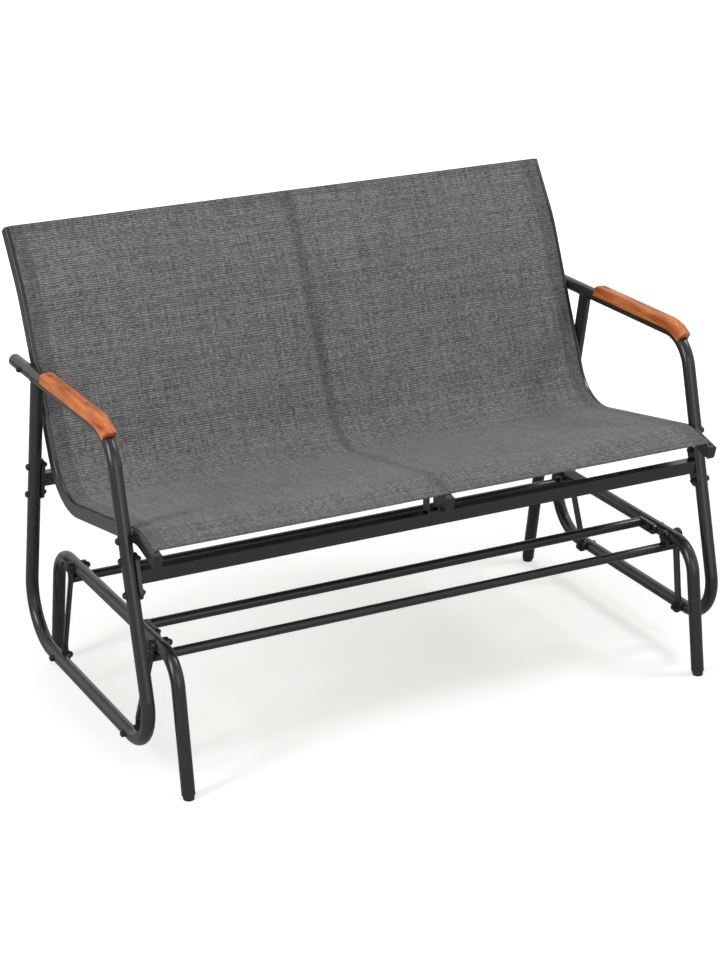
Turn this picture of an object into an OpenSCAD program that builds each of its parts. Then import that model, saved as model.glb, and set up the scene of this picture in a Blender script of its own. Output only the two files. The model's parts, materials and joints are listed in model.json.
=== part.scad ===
// Two-seat garden glider bench. Stations along the depth are measured from
// the front feet towards the back, heights from the floor. All in millimetres.

/* [Swing frames] */
// Distance between the axes of the two swing side frames
frame_width = 1194; // [1000:1:1500]
// Height of the level lower rail of a swing frame, axis
lower_rail_z = 84; // [78:1:100]
// Station of the lower front corner of a swing frame
frame_front_y = 20; // [10:1:30]
// Station of the lower rear corner of a swing frame
frame_rear_y = 634; // [620:1:650]
// Station of the corner where the arm turns down
arm_front_y = 174; // [165:1:185]
// Height of the arm at its front corner, axis
arm_front_z = 635; // [620:1:650]
// Station of the rear end of the arm tube
arm_rear_y = 645; // [635:1:660]
// Height of the rear end of the arm tube, axis
arm_rear_z = 631; // [615:1:640]
// Station where the rear upright meets the arm
rear_post_y = 529; // [515:1:540]
// Outside diameter of the frame tubes
tube_d = 25; // [24:0.5:26]
// Wall of the frame tubes
tube_wall = 1.4; // [1.2:0.1:1.8]

/* [Stand] */
// Gap between the axes of a swing frame and of the stand side inside it
side_gap = 53.5; // [52:0.5:58]
// Distance from the front feet to the rear feet
stand_depth = 638; // [620:1:660]
// Height of the level rail of the stand, axis
stand_rail_z = 253; // [240:1:265]
// Lean of each leg, front to back, at rail height
leg_lean = 42; // [36:1:48]
// Bend radius of the stand tube, axis
stand_bend_r = 62; // [50:1:70]
// Diameter of the front and rear crossbars
crossbar_d = 18; // [16:0.5:20]
// Diameter of the middle crossbar
middle_bar_d = 19; // [17:0.5:21]
// Station of the middle crossbar
middle_bar_y = 200; // [190:1:230]

/* [Links] */
// Station halfway between the front and the rear links
link_mid_y = 309; // [304:1:314]
// Spacing of the upper pivots
upper_spacing = 389; // [375:1:395]
// Spacing of the lower pivots
lower_spacing = 351; // [340:1:356]
// Width of the link strip
link_w = 18; // [14:0.5:20]
// Thickness of the link strip
link_t = 4; // [3:0.5:5]
// Diameter of the link eyes
eye_d = 24; // [22:0.5:26]
// Radial clearance of the rear lower pivots, which take up the play of the linkage
open_play = 1.1; // [1.1:0.1:1.5]

/* [Seat] */
// Station and height of the front end of the seat rails
rail_front = [34, 458];
// Station and height of the crest of the seat
rail_crest = [110, 478];
// Station and height of the corner between seat and back
rail_corner = [475, 408];
// Station and height of the corner where the back leans further
rail_upper = [635, 765];
// Station and height of the top end of the back
rail_top = [707, 872];
// Bend radius at the crest
crest_r = 100; // [80:1:120]
// Bend radius between seat and back
corner_r = 95; // [85:1:110]
// Bend radius high on the back
upper_r = 300; // [200:10:400]
// Width of a seat rail
rail_w = 18; // [17:0.5:19]
// Depth of a seat rail
rail_h = 26; // [25:0.5:27]
// Thickness of the sling fabric
sling_t = 1.6; // [1.4:0.1:1.8]

/* [Armrests] */
// Width of the wooden grip
grip_w = 26; // [25.5:0.5:30]
// Station of the rear end of the grip
grip_rear_y = 486; // [470:1:492]
// How far the grip follows the front bend, in degrees
grip_sweep = 36; // [28:1:48]

/* [Hidden] */
$fn = 48;

tube_r = tube_d / 2;
bore_r = tube_r - tube_wall;
frame_x = frame_width / 2;
stand_x = frame_x - side_gap;
eps = 0.01;
// How far straights reach into bends, and how much fuller the bends are
lap = 0.4;
swell = 0.04;

// Fasteners: pivot bolts, frame bolts and wood screws
pivot_r = 4;
pivot_hole_r = pivot_r + 0.15;
bolt_r = 3;
bolt_hole_r = bolt_r + 0.15;
screw_r = 2;
washer_t = 1.6;
saddle_t = 2;
pivot_head_r = 6.2;
pivot_head_h = 4.5;
pivot_nut_r = 6.8;
pivot_nut_h = 5.5;
bolt_head_r = 5.4;
bolt_head_h = 4;
bolt_nut_r = 5.8;
bolt_nut_h = 5;
thread_end = 2.5;
axial_gap = 0.4;

// Linkage
upper_front = [link_mid_y - upper_spacing / 2, stand_rail_z];
upper_rear = [link_mid_y + upper_spacing / 2, stand_rail_z];
lower_front = [link_mid_y - lower_spacing / 2, lower_rail_z];
lower_rear = [link_mid_y + lower_spacing / 2, lower_rail_z];
bushing_r = 6.2;
bushing_run_r = pivot_r + 0.05;
spacer_t = 1.2;
// Mid-planes of the two eyes of a link
upper_eye_x = stand_x + tube_r + spacer_t + axial_gap + link_t / 2;
lower_eye_x = frame_x - tube_r - spacer_t - axial_gap - link_t / 2;

// Paths: corner points with bend radii, in the plane of station and height
front_lean = atan2(arm_front_z - lower_rail_z, arm_front_y - frame_front_y);
arm_bend_r = 75;
rear_bend_r = 100;
// The lower front bend of a swing frame ends just ahead of the front pivot's eye
front_bend_r = (lower_front[0] - eye_d / 2 - frame_front_y) / tan(90 - front_lean / 2);
// The upper bend of a seat rail leaves a straight for the spreader behind it
spreader_d = 22;
spreader_back = 34;
top_len = norm(rail_top - rail_upper);
upper_turn = atan2(rail_upper[1] - rail_corner[1], rail_upper[0] - rail_corner[0])
    - atan2(rail_top[1] - rail_upper[1], rail_top[0] - rail_upper[0]);
upper_bend_r = min(upper_r, (top_len - spreader_back - spreader_d / 2)
    / tan(abs(upper_turn) / 2));
stand_path = [[0, 0, 0], [leg_lean, stand_rail_z, stand_bend_r],
    [stand_depth - leg_lean, stand_rail_z, stand_bend_r], [stand_depth, 0, 0]];
frame_path = [[arm_rear_y, arm_rear_z, 0], [arm_front_y, arm_front_z, arm_bend_r],
    [frame_front_y, lower_rail_z, front_bend_r], [frame_rear_y, lower_rail_z, rear_bend_r],
    [rear_post_y, arm_z(rear_post_y), 0]];
rail_path = [[rail_front[0], rail_front[1], 0], [rail_crest[0], rail_crest[1], crest_r],
    [rail_corner[0], rail_corner[1], corner_r], [rail_upper[0], rail_upper[1], upper_bend_r],
    [rail_top[0], rail_top[1], 0]];
foot_h = 8;
front_cap_t = 8;
top_cap_t = 2;
centre_top_in = 8;
sling_front_in = 13;
sling_top_in = top_cap_t + 0.3;

// Seat rails: flat outer faces sit against saddle spacers on the swing frames
rail_x = frame_x - tube_r - saddle_t - rail_w / 2 - swell;
rail_bolt_z = 458;
rail_bolt_y = front_post_y(rail_bolt_z);
// The arm's bolt crosses a rail behind the channel of the sling's edge
arm_bolt_in = 14.5;
back_lean = atan2(rail_upper[0] - rail_corner[0], rail_upper[1] - rail_corner[1]);
arm_bolt_y = rail_corner[0] + (arm_rear_z - rail_corner[1]) * tan(back_lean)
    + arm_bolt_in / cos(back_lean);

// Beams between the swing frames
beam_d = 20;
beam_h = 25;
beam_wall = 1.5;
plate_t = 4;
plate_w = 24;
plate_half = 42;
beam_bolt_half = 30;
front_beam_z = 395;
front_beam_y = front_post_y(front_beam_z);
rear_beam_z = 416;
rear_beam_y = rear_post_station(rear_beam_z);
bracket_t = 3;
bracket_w = 20;
bracket_gap = 0.2;

// Height of the arm axis at a station
function arm_z(y) = arm_front_z + (arm_rear_z - arm_front_z) * (y - arm_front_y)
    / (arm_rear_y - arm_front_y);
// Station of the front upright at a height
function front_post_y(z) = frame_front_y + (arm_front_y - frame_front_y) * (z - lower_rail_z)
    / (arm_front_z - lower_rail_z);
// Station of the rear upright at a height
function rear_post_station(z) = frame_rear_y + (rear_post_y - frame_rear_y) * (z - lower_rail_z)
    / (arm_z(rear_post_y) - lower_rail_z);
// Lean of the rear upright, of the arm and of a leg, in the plane
rear_lean = atan2(arm_z(rear_post_y) - lower_rail_z, rear_post_y - frame_rear_y);
arm_lean = atan2(arm_front_z - arm_rear_z, arm_front_y - arm_rear_y);
leg_angle = atan2(stand_rail_z, leg_lean);
// The middle of the whole depth, from the front legs' tubes to the top of the back,
// so that the origin sits under it
mid_y = (rail_top[0] + rail_h * sin(heading(rail_path, 3)) + foot_h * cos(leg_angle)
    - tube_r * sin(leg_angle)) / 2;

// Path arithmetic
function pt(p, i) = [p[i][0], p[i][1]];
function leg_dir(p, i) = (pt(p, i + 1) - pt(p, i)) / norm(pt(p, i + 1) - pt(p, i));
function heading(p, i) = atan2(leg_dir(p, i)[1], leg_dir(p, i)[0]);
function wrap(a) = a > 180 ? a - 360 : a < -180 ? a + 360 : a;
function turn(p, i) = wrap(heading(p, i) - heading(p, i - 1));
function inner(p, i) = i > 0 && i < len(p) - 1;
function cut(p, i) = inner(p, i) ? p[i][2] * tan(abs(turn(p, i)) / 2) : 0;
// The same path with its two ends drawn in
function trimmed(p, a, b) = [for (i = [0:len(p) - 1])
    i == 0 ? concat(pt(p, 0) + a * leg_dir(p, 0), [0])
    : i == len(p) - 1 ? concat(pt(p, i) - b * leg_dir(p, i - 1), [0]) : p[i]];
// A point at a distance along straight i, set off to the side by s
function along(p, i, d, s) = pt(p, i) + d * leg_dir(p, i)
    + s * [-leg_dir(p, i)[1], leg_dir(p, i)[0]];

// Lays a drawing of the station-height plane upright at a distance x
module upright(x) {
    translate([x, -mid_y, 0])
        rotate([90, 0, 90])
            children();
}

// One straight of a path carrying a section, its ends let into the bends
module straight(p, i) {
    a = cut(p, i) - (inner(p, i) ? lap : 0);
    b = cut(p, i + 1) - (inner(p, i + 1) ? lap : 0);
    $swell = 0;
    translate(concat(pt(p, i) + a * leg_dir(p, i), [0]))
        rotate([0, 0, heading(p, i)])
            rotate([90, 0, 90])
                linear_extrude(norm(pt(p, i + 1) - pt(p, i)) - a - b)
                    children();
}

// One bend of a path carrying a section, or the first part of it. Bends are a
// hair fuller than straights, so that the straights end inside their walls
module bend(p, i, sweep) {
    $swell = swell;
    r = p[i][2];
    side = turn(p, i) > 0 ? 1 : -1;
    start = pt(p, i) - cut(p, i) * leg_dir(p, i - 1);
    centre = start + side * r * [-leg_dir(p, i - 1)[1], leg_dir(p, i - 1)[0]];
    first = side > 0 ? heading(p, i - 1) - 90 : heading(p, i - 1) + 90 - sweep;
    translate(concat(centre, [0]))
        rotate([0, 0, first])
            rotate_extrude(angle = sweep)
                translate([r, 0])
                    mirror([side > 0 ? 1 : 0, side > 0 ? 0 : 1])
                        children();
}

// A section carried along a whole path
module sweep(p) {
    for (i = [0:len(p) - 2])
        straight(p, i) children();
    for (i = [1:len(p) - 2])
        bend(p, i, abs(turn(p, i))) children();
}

// A cylinder across the bench between two distances from its middle
module rod(at, x0, x1, r) {
    translate([x0, at[0] - mid_y, at[1]])
        rotate([0, 90, 0])
            cylinder(h = x1 - x0, r = r);
}

// A tube's outer cylinder through a point, lying in the station-height plane
module tube_space(at, x, lean, length) {
    upright(x)
        translate(concat(at, [0]))
            rotate([0, 0, lean])
                rotate([0, 90, 0])
                    cylinder(h = length, r = tube_r, center = true);
}

module tube_section() {
    difference() {
        circle(r = tube_r + $swell);
        circle(r = bore_r - $swell);
    }
}

// Both sides of the bench from the drawing of its right side
module both_sides() {
    children();
    mirror([1, 0, 0])
        children();
}

// A block between two corner stations, heights and distances
module block(y0, y1, z0, z1, x0, x1) {
    translate([x0, y0 - mid_y, z0])
        cube([x1 - x0, y1 - y0, z1 - z0]);
}

// Domed head pointing outwards: its flat side at x, its dome towards +X
module dome_out(at, x, r, h) {
    translate([x, at[0] - mid_y, at[1]])
        rotate([0, 90, 0])
            rotate_extrude()
                intersection() {
                    square([r, h]);
                    translate([0, h - 1.6 * r])
                        circle(r = 1.6 * r);
                }
}

// Hexagon nut between two distances, bored to fit the bolt
module nut(at, x0, x1, r, hole) {
    difference() {
        translate([x0, at[0] - mid_y, at[1]])
            rotate([0, 90, 0])
                cylinder(h = x1 - x0, r = r, $fn = 6);
        rod(at, x0 - 1, x1 + 1, hole);
    }
}

// Bolt whose head sits outside at x and whose shaft ends at x_end
module bolt(at, x, x_end, r, head_r, head_h) {
    rod(at, x_end, x + eps, r);
    dome_out(at, x, head_r, head_h);
}

// Saddle washer between a tube and a flat face, on the outer (+1) or inner (-1) side
module saddle(at, x, lean, side, t, r, hole) {
    x0 = side > 0 ? x : x - tube_r - t;
    x1 = side > 0 ? x + tube_r + t : x;
    difference() {
        rod(at, x0, x1, r);
        tube_space(at, x, lean, 4 * tube_d);
        rod(at, x0 - 1, x1 + 1, hole);
    }
}

// Flat washer between two distances
module washer(at, x0, x1, r, hole) {
    difference() {
        rod(at, x0, x1, r);
        rod(at, x0 - 1, x1 + 1, hole);
    }
}

// One side of the stand: a tube bent into a level rail and two legs
module stand_side() {
    color("dimgray")
        difference() {
            upright(stand_x)
                sweep(trimmed(stand_path, foot_h, foot_h))
                    tube_section();
            for (at = [upper_front, upper_rear])
                rod(at, stand_x - tube_d, stand_x + tube_d, pivot_hole_r);
            rod(tab_bolt, stand_x - tube_d, stand_x + tube_d, bolt_hole_r);
        }
}

// Plug in the end of a leg, cut level with the floor
plug_r = bore_r - 0.6;
plug_in = 22;

module foot_plug(y, lean) {
    intersection() {
        upright(stand_x)
            translate([y, 0, 0])
                rotate([0, 0, lean])
                    rotate([0, 90, 0])
                        rotate_extrude()
                            polygon([[0, -foot_h], [plug_r - 2, -foot_h], [plug_r, 3],
                                [plug_r, foot_h], [bore_r - 0.1, foot_h],
                                [bore_r - 0.1, foot_h + plug_in], [0, foot_h + plug_in]]);
        block(-2 * tube_d, stand_depth + 2 * tube_d, 0, foot_h + 2 * plug_in, 0, frame_x);
    }
}

module foot_plugs() {
    color("black")
        both_sides() {
            foot_plug(0, leg_angle);
            foot_plug(stand_depth, 180 - leg_angle);
        }
}

// Crossbar under the rails, hung from the upper pivot bolts by an ear at each end
bar_drop = tube_r + crossbar_d / 2 + 0.3;
ear_w = 22;
ear_x = stand_x - tube_r - plate_t;

module crossbar(pivot) {
    at = [pivot[0], pivot[1] - bar_drop];
    color("dimgray")
        difference() {
            union() {
                rod(at, -stand_x - tube_r, stand_x + tube_r, crossbar_d / 2);
                both_sides()
                    difference() {
                        upright(ear_x)
                            linear_extrude(plate_t + 3) {
                                translate(pivot)
                                    circle(r = ear_w / 2);
                                translate([pivot[0] - ear_w / 2, at[1]])
                                    square([ear_w, bar_drop]);
                            }
                        tube_space(pivot, stand_x, 0, 4 * tube_d);
                    }
            }
            rod(at, -frame_x, frame_x, crossbar_d / 2 - tube_wall);
            rod(pivot, -frame_x, frame_x, pivot_hole_r);
        }
}

// Middle crossbar, its ends flattened into tabs that run forward along the rails
tab_h = 21;
tab_len = 52;
tab_bolt_ahead = 36;
tab_bolt = [middle_bar_y - tab_bolt_ahead, stand_rail_z];

module crossbar_middle() {
    at = [middle_bar_y, stand_rail_z];
    color("dimgray")
        difference() {
            union() {
                rod(at, -ear_x - eps, ear_x + eps, middle_bar_d / 2);
                both_sides()
                    difference() {
                        upright(ear_x)
                            linear_extrude(plate_t + 3) {
                                translate(at)
                                    circle(r = tab_h / 2);
                                translate([at[0] - tab_len + 8, at[1] - tab_h / 2])
                                    square([tab_len - 8, tab_h]);
                                translate([at[0] - tab_len + 8, at[1]])
                                    circle(r = tab_h / 2);
                            }
                        tube_space(at, stand_x, 0, 8 * tube_d);
                    }
            }
            rod(at, -ear_x + plate_t, ear_x - plate_t, middle_bar_d / 2 - tube_wall);
            rod(tab_bolt, -frame_x, frame_x, bolt_hole_r);
        }
}

module crossbar_bolts() {
    color("black")
        both_sides() {
            saddle(tab_bolt, stand_x, 0, 1, saddle_t, bolt_head_r + 1, bolt_hole_r);
            bolt(tab_bolt, stand_x + tube_r + saddle_t, ear_x - bolt_nut_h - thread_end,
                bolt_r, bolt_head_r, bolt_head_h);
        }
}

module crossbar_nuts() {
    color("black")
        both_sides()
            nut(tab_bolt, ear_x - bolt_nut_h, ear_x, bolt_nut_r, bolt_r);
}

// Upper pivots, outside in: head, washer, link, saddle spacer, rail, ear, nut
upper_washer_x = upper_eye_x + link_t / 2 + axial_gap;

module upper_pivot_bolts() {
    color("black")
        both_sides()
            for (at = [upper_front, upper_rear])
                bolt(at, upper_washer_x + washer_t, ear_x - pivot_nut_h - thread_end, pivot_r,
                    pivot_head_r, pivot_head_h);
}

module upper_pivot_nuts() {
    color("black")
        both_sides()
            for (at = [upper_front, upper_rear])
                nut(at, ear_x - pivot_nut_h, ear_x, pivot_nut_r, pivot_r);
}

module upper_pivot_spacers() {
    color("black")
        both_sides()
            for (at = [upper_front, upper_rear]) {
                saddle(at, stand_x, 0, 1, spacer_t, eye_d / 2 - 1, pivot_r);
                washer(at, upper_washer_x, upper_washer_x + washer_t, eye_d / 2 - 0.5, pivot_r);
            }
}

// Link strip, drawn hanging from its upper pivot along -Z and then tilted
link_len = norm(upper_front - lower_front);
link_tilt = atan2(lower_front[0] - upper_front[0], stand_rail_z - lower_rail_z);
joggle = lower_eye_x - upper_eye_x;
joggle_top = 0.14;
joggle_end = 0.86;
rib_w = 6;
rib_t = 2;

// The strip seen on edge: distance across the bench against length
link_edge = [[0, 0, 0], [0, -link_len * joggle_top, 30],
    [joggle, -link_len * joggle_end, 30], [joggle, -link_len, 0]];

module link_strip(lower_r) {
    difference() {
        union() {
            rotate([90, 0, 0])
                sweep(link_edge)
                    square([link_t + 2 * $swell, link_w + 2 * $swell], center = true);
            rotate([90, 0, 0])
                sweep(trimmed(link_edge, eye_d / 2 + 2, eye_d / 2 + 2))
                    translate([link_t / 2 - rib_t, -rib_w / 2 - $swell])
                        square([2 * rib_t + $swell, rib_w + 2 * $swell]);
            rotate([0, 90, 0])
                cylinder(h = link_t, d = eye_d, center = true);
            translate([joggle, 0, -link_len])
                rotate([0, 90, 0])
                    cylinder(h = link_t, d = eye_d, center = true);
        }
        rotate([0, 90, 0])
            cylinder(h = 3 * link_t, r = bushing_r, center = true);
        translate([joggle, 0, -link_len])
            rotate([0, 90, 0])
                cylinder(h = 3 * link_t, r = bushing_r + lower_r, center = true);
    }
}

module link(side, rear) {
    color("dimgray")
        mirror([side < 0 ? 1 : 0, 0, 0])
            translate([upper_eye_x, (rear ? upper_rear[0] : upper_front[0]) - mid_y,
                stand_rail_z])
                rotate([rear ? -link_tilt : link_tilt, 0, 0])
                    link_strip(rear ? open_play : 0);
}

// Plastic bushings pressed into the two eyes of a link
module bushings(side, rear) {
    top = rear ? upper_rear : upper_front;
    low = rear ? lower_rear : lower_front;
    play = rear ? open_play : 0;
    color("black")
        mirror([side < 0 ? 1 : 0, 0, 0]) {
            washer(top, upper_eye_x - link_t / 2, upper_eye_x + link_t / 2, bushing_r,
                bushing_run_r);
            washer(low, lower_eye_x - link_t / 2, lower_eye_x + link_t / 2, bushing_r + play,
                rear ? pivot_r + open_play : bushing_run_r);
        }
}

// Lower pivots, outside in: head, saddle, frame rail, saddle spacer, link, washer, nut
lower_washer_x = lower_eye_x - link_t / 2 - axial_gap;

module lower_pivot_bolts() {
    color("black")
        both_sides()
            for (at = [lower_front, lower_rear])
                bolt(at, frame_x + tube_r + saddle_t, lower_washer_x - washer_t - pivot_nut_h
                    - thread_end, pivot_r, pivot_head_r, pivot_head_h);
}

module lower_pivot_nuts() {
    color("black")
        both_sides()
            for (at = [lower_front, lower_rear])
                nut(at, lower_washer_x - washer_t - pivot_nut_h, lower_washer_x - washer_t,
                    pivot_nut_r, pivot_r);
}

module lower_pivot_spacers() {
    color("black")
        both_sides()
            for (at = [lower_front, lower_rear]) {
                saddle(at, frame_x, 0, 1, saddle_t, pivot_head_r + 0.5, pivot_hole_r);
                saddle(at, frame_x, 0, -1, spacer_t, eye_d / 2 - 1, pivot_hole_r);
                washer(at, lower_washer_x - washer_t, lower_washer_x, eye_d / 2 - 0.5, pivot_r);
            }
}

// Swing side frame: one tube from the arm round to the rear upright, which is
// notched and welded under the arm
frame_bolt_spots = [[beam_spot(front_beam_y, front_beam_z, front_lean, 1), front_lean],
    [beam_spot(front_beam_y, front_beam_z, front_lean, -1), front_lean],
    [beam_spot(rear_beam_y, rear_beam_z, rear_lean, 1), rear_lean],
    [beam_spot(rear_beam_y, rear_beam_z, rear_lean, -1), rear_lean]];
rail_bolt_spots = [[[rail_bolt_y, rail_bolt_z], front_lean],
    [[arm_bolt_y, arm_z(arm_bolt_y)], arm_lean]];

function beam_spot(y, z, lean, side) = [y, z] + side * beam_bolt_half * [cos(lean), sin(lean)];

// The neck where the rear upright enters the arm
neck_len = 16;
neck_in = 0.6;
neck_at = along(frame_path, 3, norm(pt(frame_path, 4) - pt(frame_path, 3)) - neck_len, 0);

module swing_frame() {
    color("dimgray")
        difference() {
            union() {
                upright(frame_x)
                    sweep(trimmed(frame_path, 0, neck_len - 2))
                        tube_section();
                upright(frame_x)
                    difference() {
                        translate(concat(neck_at, [0]))
                            rotate([0, 0, rear_lean])
                                rotate([0, 90, 0])
                                    cylinder(h = neck_len, r = tube_r - neck_in);
                        translate([arm_rear_y, arm_rear_z, 0])
                            rotate([0, 0, 180 + arm_lean])
                                rotate([0, 90, 0])
                                    cylinder(h = arm_rear_y - arm_front_y - arm_bend_r, r = bore_r + 0.2);
                    }
            }
            for (at = [lower_front, lower_rear])
                rod(at, frame_x - tube_d, frame_x + tube_d, pivot_hole_r);
            for (spot = concat(frame_bolt_spots, rail_bolt_spots))
                rod(spot[0], frame_x - tube_d, frame_x + tube_d, bolt_hole_r);
            for (d = screw_spots)
                arm_frame(d)
                    cylinder(h = 4 * tube_d, r = screw_r + 0.2, center = true);
        }
}

// Stands at a distance along the arm, its Z pointing up out of the tube
grip_rear = (arm_rear_y - grip_rear_y) / abs(cos(arm_lean));
grip_straight = norm(pt(frame_path, 1) - pt(frame_path, 0)) - cut(frame_path, 1) - grip_rear;
screw_spots = [grip_rear + grip_straight * 0.24, grip_rear + grip_straight * 0.83];
screw_head_r = 3.4;
screw_head_h = 1.5;
screw_in = 9;

module arm_frame(d) {
    at = along(frame_path, 0, d, 0);
    translate([frame_x, at[0] - mid_y, at[1]])
        rotate([180 + arm_lean, 0, 0])
            children();
}

end_dome = tube_r / 2;
dome_r = 1.3 * tube_r;

module arm_end_plugs() {
    color("black")
        both_sides()
            upright(frame_x)
                translate([arm_rear_y, arm_rear_z, 0])
                    rotate([0, 0, arm_lean])
                        rotate([0, 90, 0])
                            rotate_extrude() {
                                square([bore_r - 0.1, plug_in]);
                                intersection() {
                                    translate([0, -end_dome])
                                        square([tube_r, end_dome]);
                                    translate([0, dome_r - end_dome])
                                        circle(r = dome_r);
                                }
                            }
}

// Wooden grip: a saddle over the arm that follows the front bend
grip_top = tube_r + 12.5;
grip_edge = 3;
grip_round = 6;

module grip_section() {
    half = grip_w / 2 + $swell;
    top = grip_top + $swell;
    difference() {
        union() {
            translate([-top + grip_round, -half])
                square([top - grip_round - grip_edge + $swell, 2 * half]);
            translate([-top, -half + grip_round])
                square([grip_round + 1, 2 * (half - grip_round)]);
            for (s = [-1, 1])
                translate([-top + grip_round, s * (half - grip_round)])
                    circle(r = grip_round);
        }
        circle(r = tube_r + 2 * swell - $swell);
    }
}

module armrest() {
    end_r = grip_w / 2 + 0.8;
    color("peru")
        difference() {
            upright(frame_x) {
                straight(trimmed(frame_path, grip_rear, 0), 0)
                    grip_section();
                bend(frame_path, 1, grip_sweep)
                    grip_section();
            }
            arm_frame(grip_rear)
                difference() {
                    translate([-grip_w, -1, -2 * tube_d])
                        cube([2 * grip_w, 1 + end_r, 4 * tube_d]);
                    translate([0, end_r, 0])
                        cylinder(h = 5 * tube_d, r = end_r, center = true);
                }
            for (d = screw_spots)
                arm_frame(d)
                    translate([0, 0, tube_r - 2])
                        cylinder(h = screw_in + 2, r = screw_r);
        }
}

// Screws driven up through the arm into the grip
module armrest_screws() {
    color("black")
        both_sides()
            for (d = screw_spots)
                arm_frame(d) {
                    translate([0, 0, -tube_r])
                        cylinder(h = tube_d + screw_in, r = screw_r);
                    translate([0, 0, -tube_r - screw_head_h])
                        cylinder(h = screw_head_h, r1 = screw_head_r / 2, r2 = screw_head_r);
                }
}

// Seat rails: a closed section, the outer two with a channel for the sling's edge
rail_round = 4;
channel_r = 4.2;
channel_in = 5.8;
slot_w = 3.4;
hollow = 2.4;

module rail_outline(grow) {
    half = rail_w / 2;
    translate([-rail_h - grow, -half + rail_round])
        square([rail_h + 2 * grow, rail_w - 2 * rail_round]);
    translate([-rail_h + rail_round, -half - grow])
        square([rail_h - 2 * rail_round, rail_w + 2 * grow]);
    for (u = [-rail_round, -rail_h + rail_round], s = [-1, 1])
        translate([u, s * (half - rail_round)])
            circle(r = rail_round + grow);
}

module rail_hollow(from, grow) {
    half = rail_w / 2 - hollow + grow;
    translate([-rail_h + hollow - grow, -half])
        square([rail_h - hollow + grow + from, 2 * half]);
}

module side_section() {
    difference() {
        rail_outline($swell);
        rail_hollow(-channel_in - channel_r - 1.8, -$swell);
        translate([-channel_in, 0])
            circle(r = channel_r - $swell);
        translate([-channel_in, -slot_w / 2 + $swell])
            square([channel_in + 1, slot_w - 2 * $swell]);
    }
}

module centre_section() {
    difference() {
        rail_outline($swell);
        rail_hollow(-hollow, -$swell);
    }
}

metal_path = trimmed(rail_path, front_cap_t, top_cap_t);
centre_path = trimmed(rail_path, front_cap_t, centre_top_in + top_cap_t);
// Places on the rails: the spreader's screw line and the two centre brackets
spreader_depth = 12;
spreader_half = rail_x + 3;
spreader_screw_x = rail_x - 1.5;
spreader_at = along(rail_path, 3, top_len - spreader_back, 0);
front_bolt_at = [front_beam_y, seat_z(front_beam_y) - rail_h / 2];
rear_bolt_at = along(rail_path, 2, cut(rail_path, 2) - 12, -rail_h / 2 - 1);

// Height of the seat line at a station between crest and corner
function seat_z(y) = rail_crest[1] + (rail_corner[1] - rail_crest[1]) * (y - rail_crest[0])
    / (rail_corner[0] - rail_crest[0]) - 3;

// Drill hole for a spreader screw from the back of a rail
module spreader_hole(x, r, depth) {
    upright(x)
        translate(concat(spreader_at, [0]))
            rotate([0, 0, heading(rail_path, 3) - 90])
                rotate([0, 90, 0])
                    translate([0, 0, rail_h - depth])
                        cylinder(h = depth + spreader_depth + 1, r = r);
}

module seat_rail() {
    color("dimgray")
        difference() {
            upright(rail_x)
                sweep(metal_path)
                    side_section();
            for (spot = rail_bolt_spots)
                rod(spot[0], rail_x - rail_w, rail_x + rail_w, bolt_hole_r);
            spreader_hole(spreader_screw_x, screw_r, hollow + 1);
        }
}

module seat_rail_centre() {
    color("dimgray")
        difference() {
            upright(0)
                sweep(centre_path)
                    centre_section();
            rod(front_bolt_at, -rail_w, rail_w, bolt_hole_r);
            rod(rear_bolt_at, -rail_w, rail_w, bolt_hole_r);
            spreader_hole(0, screw_r, hollow + 1);
        }
}

// Caps that close the rails, each with a stub inside
module rail_cap(x, i, d, t, stub, from) {
    at = along(rail_path, i, d, 0);
    upright(x)
        translate(concat(at, [0]))
            rotate([0, 0, heading(rail_path, i)])
                rotate([90, 0, 90]) {
                    linear_extrude(t)
                        rail_outline(0);
                    translate([0, 0, stub > 0 ? t : stub])
                        linear_extrude(abs(stub))
                            rail_hollow(from, -0.1);
                }
}

module rail_front_caps() {
    side_from = -channel_in - channel_r - 1.9;
    color("black") {
        both_sides()
            rail_cap(rail_x, 0, 0, front_cap_t, 10, side_from);
        rail_cap(0, 0, 0, front_cap_t, 10, -hollow - 0.1);
    }
}

module rail_top_caps() {
    side_from = -channel_in - channel_r - 1.9;
    color("black") {
        both_sides()
            rail_cap(rail_x, 3, top_len - top_cap_t, top_cap_t, -10, side_from);
        rail_cap(0, 3, top_len - centre_top_in - top_cap_t, top_cap_t, -10, -hollow - 0.1);
    }
}

// Rectangular beam between curved end plates that seat on the uprights
module beam(y, z, lean) {
    inner_x = frame_x - tube_r - plate_t;
    spots = [for (s = [-1, 1]) beam_spot(y, z, lean, s)];
    color("dimgray")
        difference() {
            union() {
                block(y - beam_d / 2, y + beam_d / 2, z - beam_h / 2, z + beam_h / 2,
                    -inner_x - eps, inner_x + eps);
                both_sides()
                    difference() {
                        upright(inner_x)
                            linear_extrude(plate_t + 3)
                                translate([y, z])
                                    rotate([0, 0, lean]) {
                                        square([2 * plate_half - plate_w, plate_w],
                                            center = true);
                                        for (s = [-1, 1])
                                            translate([s * (plate_half - plate_w / 2), 0])
                                                circle(r = plate_w / 2);
                                    }
                        tube_space([y, z], frame_x, lean, 8 * tube_d);
                    }
            }
            block(y - beam_d / 2 + beam_wall, y + beam_d / 2 - beam_wall,
                z - beam_h / 2 + beam_wall, z + beam_h / 2 - beam_wall, -inner_x, inner_x);
            for (at = spots)
                rod(at, -frame_x, frame_x, bolt_hole_r);
        }
}

// Bolts of the beams, with nuts inside the plates, and of the seat rails
plate_x = frame_x - tube_r - plate_t;
rail_in_x = rail_x - rail_w / 2 - swell;

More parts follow.
